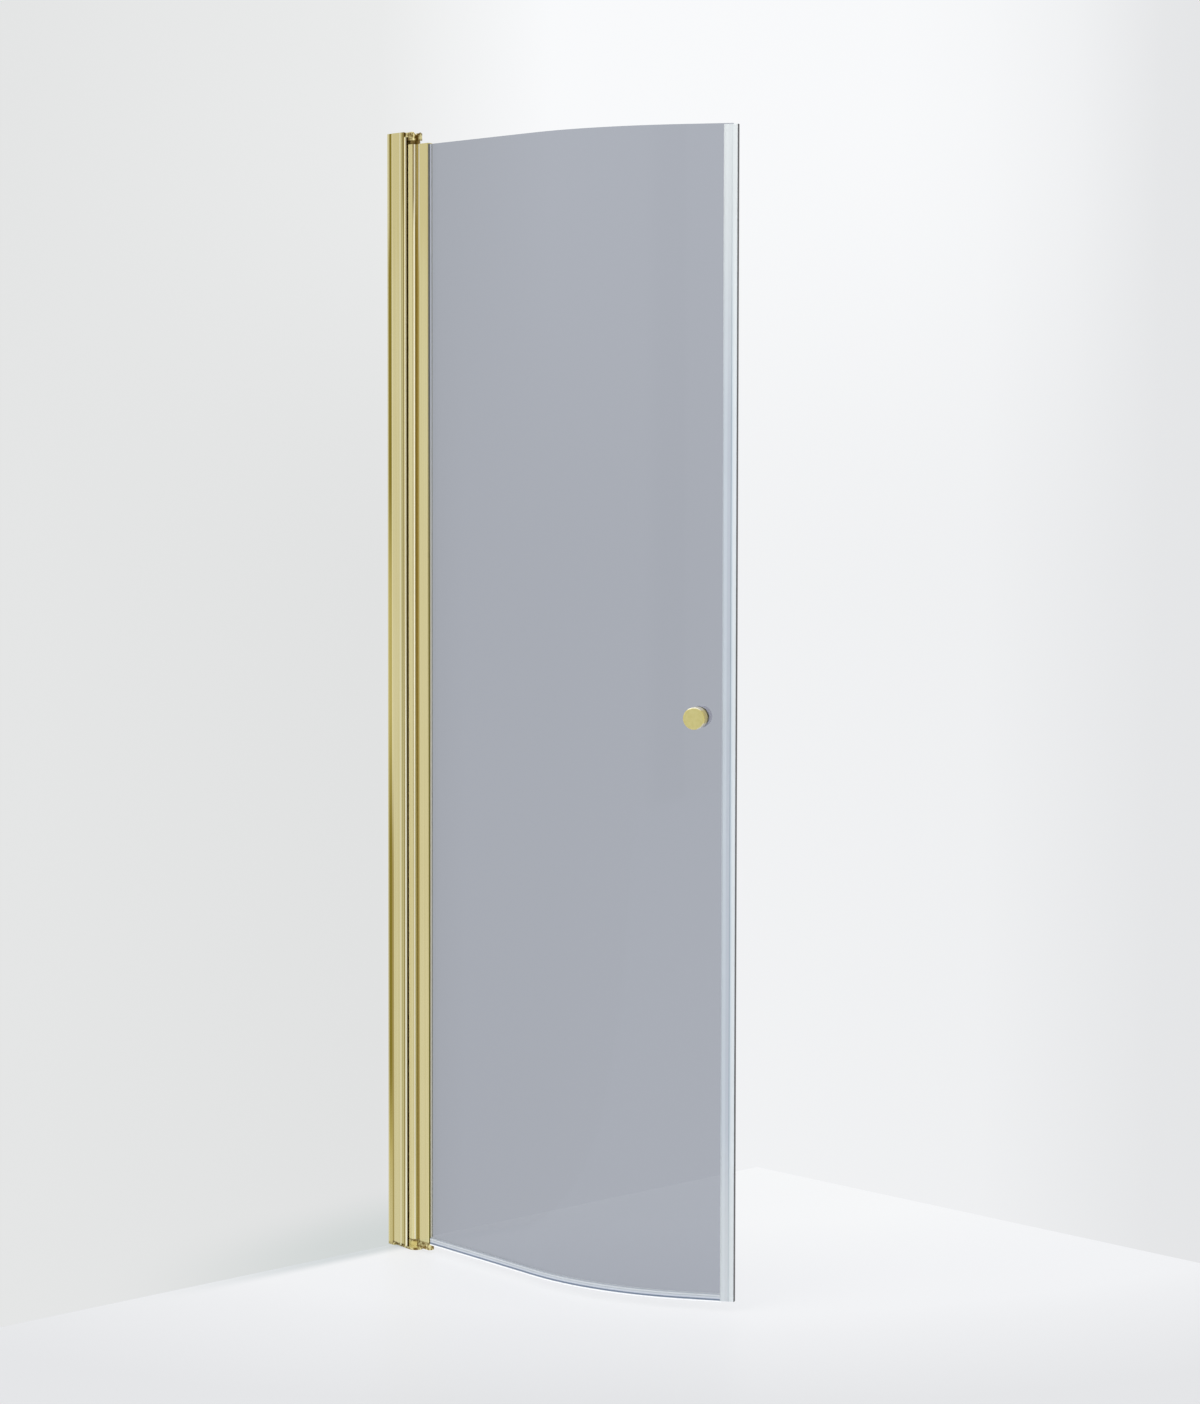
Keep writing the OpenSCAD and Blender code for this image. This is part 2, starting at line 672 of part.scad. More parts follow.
// Sweeps its 2D children along the glass from s0 to s1: their X is across the glass, Y is up
module sweep_along_glass(s0, s1) {
    at_axis() {
        translate([s0, 0, 0]) rotate([90, 0, 90]) linear_extrude(flat_len - s0) children();
        translate([flat_len, bend_r, 0]) rotate([0, 0, -90])
            rotate_extrude(angle = bend_deg, $fn = 360)
                translate([bend_r, 0]) mirror([1, 0]) children();
    }
    at_glass_edge() translate([-tail_len, 0, 0]) rotate([90, 0, 90])
        linear_extrude(s1 - flat_len - bend_len) children();
}

// Section of the bottom seal: two lips on the glass, a web under it, and two legs with feet
module bottom_seal_section() {
    out = glass_half + seal_t;
    web_t = 1.5;
    bead = 0.5;
    bead_h = 1.2;
    lip_z = glass_z0 + seal_lip;
    polygon([[-out - bead, seal_z0], [-glass_half, seal_z0], [-glass_half, glass_z0 - web_t],
        [glass_half, glass_z0 - web_t], [glass_half, seal_z0], [out + bead, seal_z0],
        [out + bead, seal_z0 + 1], [out, seal_z0 + 1], [out, lip_z - bead_h],
        [out + bead, lip_z - bead_h], [out + bead, lip_z], [glass_half, lip_z],
        [glass_half, glass_z0], [-glass_half, glass_z0], [-glass_half, lip_z],
        [-out - bead, lip_z], [-out - bead, lip_z - bead_h], [-out, lip_z - bead_h],
        [-out, seal_z0 + 1], [-out - bead, seal_z0 + 1]]);
}

// Clear seal under the glass, which follows its curve
module bottom_seal() {
    color("aliceblue") sweep_along_glass(seal_s0, seal_s1) bottom_seal_section();
}

// Clear strip on the closing edge: two lips on the glass, and a hollow box for the magnet
module closing_strip() {
    out = glass_half + seal_t;
    web = 1.1;
    box_x1 = closing_reach - magnet_t;
    color("aliceblue") at_glass_edge() translate([0, 0, strip_z0])
        linear_extrude(strip_z1 - strip_z0) {
            for (side = [-1, 1]) {
                translate([-closing_lip, side > 0 ? glass_half : -out]) square([closing_lip + 1, seal_t]);
                translate([-closing_lip, side > 0 ? glass_half : -out - 0.4])
                    square([1.2, seal_t + 0.4]);
            }
            difference() {
                translate([0, -out]) square([box_x1, 2 * out]);
                translate([web, web - out]) square([box_x1 - 2 * web, 2 * (out - web)]);
            }
        }
}

// Magnet along the closing edge
module magnet_strip() {
    half = glass_half + seal_t + 0.3;
    color("dimgray") at_glass_edge() translate([closing_reach - magnet_t, -half, strip_z0])
        cube([magnet_t, 2 * half, strip_z1 - strip_z0]);
}

// Turned knob along +Z with a shadow gap at its foot, a blind bore and a set screw hole
module knob() {
    neck_r = knob_d / 2 - 5;
    neck_h = 2;
    edge = 1.2;
    difference() {
        rotate_extrude() polygon([[0, 0], [neck_r, 0], [neck_r, neck_h], [knob_d / 2 - edge, neck_h],
            [knob_d / 2, neck_h + edge], [knob_d / 2, knob_len - edge],
            [knob_d / 2 - edge, knob_len], [0, knob_len]]);
        translate([0, 0, -eps]) cylinder(r = stud_r, h = stud_grip);
        translate([0, 0, grub_z]) rotate([90, 0, 0]) cylinder(r = grub_r, h = knob_d);
    }
}

// Moves its children to the seat of one knob, on the outer side or the inner side
module at_knob_seat(side) {
    at_knob() rotate([side < 0 ? 0 : 180, 0, 0]) rotate([0, 0, side < 0 ? 0 : 180])
        translate([0, 0, glass_half + washer_t]) children();
}

module outer_knob() {
    color("khaki") at_knob_seat(-1) knob();
}

module inner_knob() {
    color("khaki") at_knob_seat(1) knob();
}

// Threaded stud through the glass, into both knobs
module knob_stud() {
    len = glass_t + 2 * washer_t + 2 * stud_grip - 2;
    color("silver") at_knob() translate([0, 0, -len / 2]) cylinder(r = stud_r, h = len);
}

// Plastic sleeve that centres the stud in the hole of the glass
module knob_sleeve() {
    color("white") at_knob() translate([0, 0, -glass_half]) difference() {
        cylinder(d = knob_hole_d, h = glass_t);
        translate([0, 0, -eps]) cylinder(r = stud_r, h = glass_t + 1);
    }
}

// Soft washers between the knobs and the glass
module knob_washers() {
    color("whitesmoke") for (side = [-1, 1]) at_knob_seat(side)
        translate([0, 0, -washer_t]) difference() {
            cylinder(r = knob_d / 2 - 5, h = washer_t);
            translate([0, 0, -eps]) cylinder(r = stud_r, h = washer_t + 1);
        }
}

// Set screws that clamp the knobs on the stud
module knob_grub_screws() {
    grub_len = 12;
    hex_r = 1.1;
    color("dimgray") for (side = [-1, 1]) at_knob_seat(side) translate([0, 0, grub_z])
        rotate([90, 0, 0]) translate([0, 0, stud_r]) difference() {
            cylinder(r = grub_r, h = grub_len);
            translate([0, 0, grub_len - 2]) cylinder(r = hex_r, h = 3, $fn = 6);
        }
}

wall_channel();
jamb_profile();
jamb_screws();
channel_foot_cap();
channel_top_plug();
top_bracket();
top_pivot_pin();
top_collar();
bottom_bracket();
bracket_screws();
lower_lift_cam();
hinge_seal();
lower_spindle();
spindle_circlip();
door_profile();
top_bush();
bottom_shoe();
upper_lift_cam();
profile_screws();
leaf_top_cap();
leaf_bottom_cap();
glass_pane();
outer_gasket();
inner_gasket();
setting_blocks();
bottom_seal();
closing_strip();
magnet_strip();
outer_knob();
inner_knob();
knob_stud();
knob_sleeve();
knob_washers();
knob_grub_screws();
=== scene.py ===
"""Hinged shower door: smoked glass leaf on a satin brass rising hinge, beside its wall profile.

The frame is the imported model: X runs out from the wall, Y into the shower, Z up, in metres.
"""
import math

import bmesh
import bpy
import numpy as np
from mathutils import Matrix


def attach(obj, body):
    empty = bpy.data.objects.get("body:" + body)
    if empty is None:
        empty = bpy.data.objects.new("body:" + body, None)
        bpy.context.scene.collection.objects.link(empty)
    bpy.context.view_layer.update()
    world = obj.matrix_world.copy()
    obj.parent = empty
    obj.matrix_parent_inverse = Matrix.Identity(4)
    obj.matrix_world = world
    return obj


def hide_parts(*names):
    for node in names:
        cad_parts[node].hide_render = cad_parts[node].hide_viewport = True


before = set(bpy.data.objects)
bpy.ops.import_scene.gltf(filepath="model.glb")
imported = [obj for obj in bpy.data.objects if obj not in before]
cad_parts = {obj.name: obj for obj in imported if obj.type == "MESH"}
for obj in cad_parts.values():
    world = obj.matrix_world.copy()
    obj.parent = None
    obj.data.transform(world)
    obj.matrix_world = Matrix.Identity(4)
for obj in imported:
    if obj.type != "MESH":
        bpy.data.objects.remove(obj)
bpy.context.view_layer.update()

# Places and sizes on the leaf, from the part's source
CLOSING_EDGE = np.array([0.763, 0.144, 0.0])
ALONG = np.array([0.8, 0.6, 0.0])
INWARD = np.array([-0.6, 0.8, 0.0])
UP = np.array([0.0, 0.0, 1.0])
BEND_CENTRE, BEND_R, TAIL = np.array([0.413, 0.474, 0.0]), 0.474, 0.082
GLASS_HALF = 0.003
WASHER = 0.001
KNOB_FROM_EDGE, KNOB_HEIGHT = 0.060, 0.995
KNOB_R, KNOB_LEN = 0.0185, 0.025
KNOB_ON_GLASS = CLOSING_EDGE - KNOB_FROM_EDGE * ALONG + KNOB_HEIGHT * UP
STRIP_LOW, STRIP_HIGH = 0.0175, 1.9745

# The corner of the room, with the slopes in plan of its two walls and the floor's reach
CORNER = np.array([-0.091, 0.953, 0.0])
NEAR_WALL_SLOPE, FAR_WALL_SLOPE = 0.1044, 0.064
FLOOR_REACH = 9.0


def math_operator(operation, reflected=False):
    """An operator of Flow, which adds one Math node."""
    def operate(self, other):
        pair = (other, self) if reflected else (self, other)
        return self.finish.node("ShaderNodeMath", dict(operation=operation), *pair)
    return operate


class Flow:
    """A value or colour on its way through a finish; + - * ** on values add Math nodes."""

    def __init__(self, finish, socket):
        self.finish, self.socket = finish, socket

    __add__, __radd__ = math_operator("ADD"), math_operator("ADD", reflected=True)
    __sub__, __rsub__ = math_operator("SUBTRACT"), math_operator("SUBTRACT", reflected=True)
    __mul__, __rmul__ = math_operator("MULTIPLY"), math_operator("MULTIPLY", reflected=True)
    __pow__, __rpow__ = math_operator("POWER"), math_operator("POWER", reflected=True)

    def clip(self):
        """This value held between 0 and 1."""
        return self.finish.node("ShaderNodeClamp", {}, self, 0.0, 1.0)

    def ramp(self, low, high):
        """Runs from 0 at low to 1 at high, with soft ends."""
        return self.finish.node("ShaderNodeMapRange", dict(interpolation_type="SMOOTHSTEP"),
                                self, low, high, 0.0, 1.0)

    def under(self, limit=0.0, soft=0.001):
        """1 where this value is under limit, 0 where it is over it."""
        return 1.0 - self.ramp(limit - soft, limit + soft)


class Finish:
    """A node tree with one method for every node, and short names for what all finishes use."""

    def __init__(self, name, tree=None):
        if tree is None:
            self.material = bpy.data.materials.new(name)
            self.material.use_nodes = True
            tree = self.material.node_tree
        self.tree = tree
        tree.nodes.clear()

    def node(self, kind, settings, *inputs, out=0, **named):
        """Adds a node, sets its settings, then its sockets by order or by name: a Flow is
        linked, and None leaves a socket as it is. A tuple in out gives several outputs."""
        n = self.tree.nodes.new(kind)
        for key, value in settings.items():
            if key == "stops":
                ramp = n.color_ramp
                while len(ramp.elements) < len(value):
                    ramp.elements.new(0.5)
                for element, (place, colour) in zip(ramp.elements, value):
                    element.position = place
                    element.color = (*colour, 1.0)
            else:
                setattr(n, key, value)
        by_name = [(n.inputs[key.replace("_", " ")], value) for key, value in named.items()]
        for socket, value in [*zip(n.inputs, inputs), *by_name]:
            if isinstance(value, Flow):
                self.tree.links.new(value.socket, socket)
            elif value is not None:
                without_alpha = socket.type == "RGBA" and len(value) == 3
                socket.default_value = (*value, 1.0) if without_alpha else value
        if isinstance(out, tuple):
            return [Flow(self, n.outputs[o]) for o in out]
        return Flow(self, n.outputs[out]) if n.outputs else None

    def place(self):
        """Object coordinates, which are the row frame in metres."""
        return self.node("ShaderNodeTexCoord", {}, out="Object")

    def axes(self, vector=None):
        """The X, Y and Z of a vector, or of the place on the object, as three values."""
        return self.node("ShaderNodeSeparateXYZ", {}, vector or self.place(), out=(0, 1, 2))

    def noise(self, scale, stretch=(1.0, 1.0, 1.0), detail=2.0):
        """Soft noise from 0 to 1 with blobs of 1 / (scale * stretch) metres along each axis."""
        place = self.node("ShaderNodeMapping", {}, self.place(), Scale=stretch)
        return self.node("ShaderNodeTexNoise", {}, place, Scale=scale, Detail=detail)

    def mix(self, share, a, b):
        """Colour a where share is 0, colour b where it is 1."""
        number_and_vector_sockets = [None] * 5
        return self.node("ShaderNodeMix", dict(data_type="RGBA"),
                         share, *number_and_vector_sockets, a, b, out=2)

    def tones(self, stops, value):
        """The colours at the places of a colour ramp that value runs over."""
        return self.node("ShaderNodeValToRGB", dict(stops=stops), value)

    def ray(self, kind):
        """1 for rays of this kind, 0 for the others."""
        return self.node("ShaderNodeLightPath", {}, out=kind)

    def seen(self):
        """1 for rays of the lens, of mirrors and through glass, 0 for those that carry light."""
        return (self.ray("Is Camera Ray") + self.ray("Is Glossy Ray")
                + self.ray("Is Transmission Ray")).clip()

    def bump(self, height, depth, strength):
        return self.node("ShaderNodeBump", {}, Strength=strength, Distance=depth, Height=height)

    def surface(self, **sockets):
        """A Principled surface with these sockets, by name."""
        return self.node("ShaderNodeBsdfPrincipled", {}, **sockets)

    def clear(self, tint):
        """A surface that lets light pass, tinted."""
        return self.node("ShaderNodeBsdfTransparent", {}, tint)

    def blend(self, share, a, b):
        """Surface a where share is 0, surface b where it is 1."""
        return self.node("ShaderNodeMixShader", {}, share, a, b)

    def done(self, shader):
        self.node("ShaderNodeOutputMaterial", {}, Surface=shader)
        return self.material


def tone_of(*levels):
    """The linear colour of display levels from 0 to 255."""
    return tuple(((v / 255 + 0.055) / 1.055) ** 2.4 for v in levels)


def tones_of(stops):
    """Stops of a colour ramp, from their places and display levels."""
    return [(place, tone_of(*levels)) for place, levels in stops]


def shade(colour, factor):
    return tuple(c * factor for c in colour)


def distance(x, y, start, direction):
    """How far a place lies from start along a direction, both seen in plan."""
    (start_x, start_y, _), (along_x, along_y, _) = start.tolist(), direction.tolist()
    return (x - start_x) * along_x + (y - start_y) * along_y


# Stretch of the noise for lines drawn down a profile, and how a line drawn in a finish ends
DRAWN_LINES, DRAWN_STRANDS = (2600.0, 2600.0, 1.2), (420.0, 420.0, 0.9)
LINE_DEPTH = 0.00004
MARK_OUTER, MARK_INNER = 0.0006, 0.0004

BRASS = (0.92, 0.85, 0.49)
BRASS_DEEP = (0.83, 0.74, 0.37)
# Painted shade on the faces inside the slot beside the hinge, and the mottling of the sawn end
SLOT_SHADE, SAWN_TONE = (0.20, 0.14, 0.03), (0.14, 0.09, 0.02)

# Painted highlights and painted shade in lines down a profile, standing in for the lights it
# mirrors and the shade in its grooves and recesses: X from and to, tone, and the heights over
# which the line fades out upwards, or downwards where the first is the higher, or None where it
# runs all the way
JAMB_HIGHLIGHTS_AND_SHADE = [
    (0.0120, 0.0197, (0.42, 0.32, 0.06), (0.66, 0.92)),
    (0.0398, 0.0422, (0.97, 0.92, 0.62), None),
    (0.0454, 0.0474, (0.56, 0.50, 0.21), None),
    (0.0488, 0.0532, (0.25, 0.18, 0.05), (1.93, 1.80)),
    (0.0508, 0.0538, (0.42, 0.33, 0.10), None),
    (0.0546, 0.0700, (0.98, 0.96, 0.76), None)]
LEAF_HIGHLIGHTS_AND_SHADE = [
    (0.0699, 0.0711, (0.70, 0.58, 0.27), None),
    (0.0714, 0.0725, (0.99, 0.97, 0.78), None),
    (0.0729, 0.0850, (0.43, 0.35, 0.10), (0.9, 1.3)),
    (0.0731, 0.0850, (0.54, 0.43, 0.135), None),
    (0.0727, 0.0765, (0.45, 0.37, 0.12), (0.7, 1.1)),
    (0.0560, 0.0622, (0.98, 0.86, 0.42), None),
    (0.0700, 0.0717, (0.25, 0.17, 0.04), (1.90, 1.82)),
    (0.0719, 0.0738, (0.99, 0.97, 0.78), (1.90, 1.82)),
    (0.0800, 0.0862, (1.0, 0.98, 0.84), (1.84, 1.72))]


def drawn_brass(name, colour, deep, painted_lines, slot=False, sawn=0.0, rubbed=None, rough=0.15):
    """Extruded brass: long drawn lines down the length, a slow drift of tone and a warmer tone
    towards the top, with the painted lines of highlight and shade. With slot, the faces that look
    into the slot beside the hinge are painted dark as shade. Under the height sawn, the end of the
    profile is mottled. Nearer the wall than rubbed, the skin is rubbed dull, so that it scatters
    part of the light."""
    f = Finish(name)
    x, y, z = f.axes()
    lines = f.noise(1.0, DRAWN_LINES, 3.0)
    strands = f.noise(1.0, DRAWN_STRANDS)
    drift = f.noise(2.2)
    tone = (strands * 0.6 + drift * 0.4).ramp(0.3, 0.7) - z.ramp(1.70, 1.96) * 0.9
    skin = f.mix(tone.clip(), deep, colour)
    for low, high, mark, fade in painted_lines:
        share = (x.ramp(low - MARK_OUTER, low + MARK_INNER)
                 - x.ramp(high - MARK_INNER, high + MARK_OUTER))
        if fade:
            share = share * (1.0 - z.ramp(*fade))
        skin = f.mix(share, skin, mark)
    if slot:
        # Painted shade: the faces inside the slot are darkened
        skin = f.mix(x.ramp(0.046, 0.047) * y.ramp(-0.0145, -0.0135), skin, SLOT_SHADE)
    if sawn:
        spots = 1.0 - f.noise(200.0, detail=2.5).ramp(0.42, 0.60)
        skin = f.mix(z.under(sawn, 0.0012) * spots, skin, SAWN_TONE)
    metal = 0.2 + x.ramp(rubbed - 0.0008, rubbed + 0.0004) * 0.8 if rubbed else 1.0
    return f.done(f.surface(
        Base_Color=skin, Metallic=metal,
        Roughness=rough + (lines - 0.5) * 0.10 + (drift - 0.5) * 0.06,
        Normal=f.bump(lines, LINE_DEPTH, 0.35)))


def channel_brass(name, pale, deep, rough=0.28):
    """The wall channel's duller brass, its dark tone painted shade from the wall beside it: drawn
    lines, and slow bands of painted light and shade up its height, pale at the foot and at the
    middle, with a painted highlight on the corner at the wall, widest at the top."""
    f = Finish(name)
    x, _, z = f.axes()
    lines = f.noise(1.0, DRAWN_LINES, 3.0)
    drift = f.noise(3.0)
    high = z + (drift - 0.5) * 0.12
    # Painted light and shade: pale bands at the foot and the middle, darker bands between
    bands = (1.0 - high.ramp(0.10, 0.36)) * 1.15 + high.ramp(0.72, 1.0) - high.ramp(1.16, 1.42)
    skin = f.mix(bands.clip(), deep, pale)
    skin = f.mix((1.0 - z.ramp(0.05, 0.22)) * 0.4, skin, BRASS)
    # Painted highlight on the corner at the wall, widest at the top
    skin = f.mix((1.0 - x.ramp(0.002, 0.005)) * 0.8, skin, BRASS)
    skin = f.mix(z.ramp(1.74, 1.86) * x.under(0.0062, 0.0015) * 0.75, skin, BRASS)
    return f.done(f.surface(
        Base_Color=skin, Metallic=1.0, Roughness=rough + (lines - 0.5) * 0.12,
        Normal=f.bump(lines, LINE_DEPTH, 0.35)))


def cast_brass(name, colour, deep, rough):
    """Cast, tumbled and polished brass: bright high places, dark hollows, most of them near the
    floor, and a fine skin."""
    f = Finish(name)
    _, _, z = f.axes()
    skin = f.noise(1200.0, detail=3.0)
    hollows = f.noise(150.0, detail=2.5) - z.under(0.05, 0.01) * 0.05
    return f.done(f.surface(
        Base_Color=f.mix(hollows.ramp(0.36, 0.62), deep, colour), Metallic=1.0,
        Roughness=rough + (skin - 0.5) * 0.12 + (1.0 - hollows.ramp(0.3, 0.6)) * 0.06,
        Normal=f.bump(skin * 0.08 + hollows, 0.0010, 0.3)))


def turned_brass(name, colour, deep, rough=0.14):
    """Brass turned about an upright axis: fine rings up the height, then polished."""
    f = Finish(name)
    rings = f.noise(1.0, (60.0, 60.0, 5200.0))
    patches = f.noise(90.0)
    return f.done(f.surface(
        Base_Color=f.mix(patches.ramp(0.25, 0.75), deep, colour), Metallic=1.0,
        Roughness=rough + (rings - 0.5) * 0.12, Normal=f.bump(rings, 0.00005, 0.4)))


def knob_brass(name, side, glint, edge):
    """Knob: satin face with the faint rings of the lathe, and a polished rim and side, with a
    painted highlight in the glint tone above and low on the side of the closing edge. Edge tints
    its flat mirroring.

    The share of polish grows where the distance from the knob's axis nears its radius."""
    f = Finish(name)
    x, y, z = f.axes()
    across = distance(x, y, KNOB_ON_GLASS, ALONG)
    up = z - KNOB_HEIGHT
    radius = (across * across + up * up) ** 0.5
    rings = f.node("ShaderNodeTexNoise", dict(noise_dimensions="1D"),
                   W=radius * 5200.0, Scale=1.0, Detail=1.0)
    cloud = f.noise(160.0, detail=3.0)
    polish = radius.ramp(KNOB_R - 0.0016, KNOB_R - 0.0003)
    face = f.mix(cloud.ramp(0.3, 0.7), (0.70, 0.635, 0.265), (0.75, 0.685, 0.31))
    # Painted highlights on the rim and side: above, and low on the side of the closing edge
    low = up.under(-0.0080, 0.0020) * across.ramp(0.003, 0.008)
    painted_glint = (up.ramp(0.012, 0.016) + low).clip()
    return f.done(f.surface(
        Base_Color=f.mix(polish, face, f.mix(painted_glint, side, glint)), Metallic=1.0 - polish * 0.5,
        Specular_Tint=edge, Roughness=0.42 - polish * 0.22 + (rings - 0.5) * 0.08,
        Normal=f.bump(rings, LINE_DEPTH, 0.3)))


def steel(name):
    """Ground steel: fine rings up the height and a faint blue grey."""
    f = Finish(name)
    rings = f.noise(1.0, (40.0, 40.0, 4200.0))
    return f.done(f.surface(
        Base_Color=f.mix(rings.ramp(0.3, 0.7), (0.42, 0.43, 0.44), (0.62, 0.62, 0.63)),
        Metallic=1.0, Roughness=0.26 + (rings - 0.5) * 0.12, Normal=f.bump(rings, 0.00004, 0.4)))


def dull_skin(f, rough):
    """Roughness and bump of a fine dull moulded skin, and its noise."""
    skin = f.noise(900.0)
    return skin, dict(Roughness=rough + (skin - 0.5) * 0.18, Normal=f.bump(skin, 0.00006, 0.4))


def moulded(name, colour, rough):
    """Moulded or extruded plastic or rubber: even colour with a fine dull skin."""
    f = Finish(name)
    bloom = f.noise(14.0, (1.0, 1.0, 0.3))
    return f.done(f.surface(
        Base_Color=f.mix(bloom.ramp(0.3, 0.75), shade(colour, 0.85), shade(colour, 1.2)),
        **dull_skin(f, rough)[1]))


def gasket_rubber(name):
    """Gasket beside the glass: olive low down, slate higher up, with a fine dull skin."""
    f = Finish(name)
    _, _, z = f.axes()
    skin, dull = dull_skin(f, 0.62)
    olive = f.mix(skin, (0.17, 0.145, 0.02), (0.22, 0.19, 0.035))
    slate = f.mix(skin, (0.10, 0.105, 0.105), (0.13, 0.14, 0.14))
    return f.done(f.surface(
        Base_Color=f.mix(z.ramp(1.1, 1.6), olive, slate), Specular_IOR_Level=0.2, **dull))


def outer_face(x, y):
    """1 on the glass's outer face: y < 0 on the flat, farther than the bend's radius from its
    centre on the bend, and outside the middle line on the tail."""
    centre_x, centre_y, _ = BEND_CENTRE.tolist()
    from_centre = ((x - centre_x) ** 2.0 + (y - centre_y) ** 2.0) ** 0.5
    flat = x.under(centre_x, 1e-5)
    tail = 1.0 - distance(x, y, CLOSING_EDGE, ALONG).under(-TAIL, 1e-5)
    bend = (tail * distance(x, y, CLOSING_EDGE, INWARD).under()
            + (1.0 - tail) * (1.0 - from_centre.under(BEND_R)))
    return flat * y.under() + (1.0 - flat) * bend


def smoked_glass(name):
    """Tempered glass with a grey tint: light passes tinted, and the skin mirrors more at a
    flatter angle, by Schlick's rule 0.04 + 0.96 (1 - cos)^5. Beside the door profile and above
    the bottom seal its outer face carries a thin milky bead of clear sealant, painted light that
    covers the shade where the lips and gaskets meet the glass."""
    f = Finish(name)
    x, y, z = f.axes()
    cloud = f.noise(1.6, (1.0, 1.0, 0.5))
    skin = f.surface(
        Base_Color=f.mix(cloud.ramp(0.3, 0.7), (0.84, 0.87, 0.91), (0.90, 0.92, 0.95)),
        Roughness=0.025 + cloud * 0.02, Metallic=1.0)
    flatness = f.node("ShaderNodeLayerWeight", {}, Blend=0.5, out="Facing")
    pane = f.blend(flatness ** 5.0 * 0.96 + 0.04, f.clear((0.664, 0.680, 0.714)), skin)
    fine = f.noise(300.0)
    beside, low = x.under(0.1172, 0.0008), z.under(0.0300, 0.0005)
    upright = f.mix(z.ramp(1.0, 1.6), (0.66, 0.64, 0.54), (0.58, 0.61, 0.67))
    # Painted light: the bead's pale tones cover the dark shade where the lips meet the glass
    sealant_and_painted_light = f.surface(Base_Color=f.mix(low, upright, (0.52, 0.56, 0.62)),
                        Roughness=0.35 + fine * 0.1)
    bead = (beside + low - beside * low) * outer_face(x, y)
    return f.done(f.blend(bead * 0.85, pane, sealant_and_painted_light))


def clear_washer(name, tone):
    """Clear soft plastic: part of the light passes, the rest is scattered as milky blue grey."""
    f = Finish(name)
    cloud = f.noise(40.0, (1.0, 1.0, 0.25), 3.0)
    fine = f.noise(700.0, (1.0, 1.0, 0.1))
    flesh = f.surface(
        Base_Color=f.mix(cloud.ramp(0.3, 0.7), shade(tone, 0.93), tone),
        Roughness=0.22 + (fine - 0.5) * 0.12, IOR=1.45, Normal=f.bump(fine, 0.00005, 0.3))
    return f.done(f.blend((cloud - 0.5) * 0.15 + 0.5, f.clear((0.86, 0.90, 0.94)), flesh))


def banded_seal(name, across, low, high, stops, body, lift=0.0, glow=0.0):
    """Clear extruded seal whose tone changes over its section, as across runs from low to high:
    thin dark lines of painted shade where a lip ends, painted light where the wall is hollow
    behind.
    With lift, it is paler towards both ends. With glow, the lip at low glows with painted light in
    place of the floor's light that passes through it. Body is the share of light that it scatters."""
    f = Finish(name)
    x, y, z = f.axes()
    measure = across(x, y, z)
    tone = f.tones(tones_of(stops), (measure - low) * (1.0 / (high - low)))
    if lift:
        ends = z.ramp(1.4, 2.0) + (1.0 - z.ramp(0.10, 0.36)) * 0.6
        tone = f.mix(ends * lift, tone, tone_of(244, 249, 248))
    light = {}
    # Painted light: the lip at low glows, in place of the floor's light passing through it
    if glow:
        lip = measure.under(low + 0.0012, 0.0006)
        light = dict(Emission_Color=f.mix(lip, (0.0, 0.0, 0.0), (glow, glow, glow)),
                     Emission_Strength=1.0)
    fine, cloud = f.noise(500.0), f.noise(6.0)
    flesh = f.surface(Base_Color=tone, Roughness=0.24 + (fine - 0.5) * 0.12, IOR=1.45,
                      Normal=f.bump(fine, 0.00005, 0.3), **light)
    return f.done(f.blend((cloud - 0.5) * 0.12 + body, f.clear((0.90, 0.93, 0.96)), flesh))


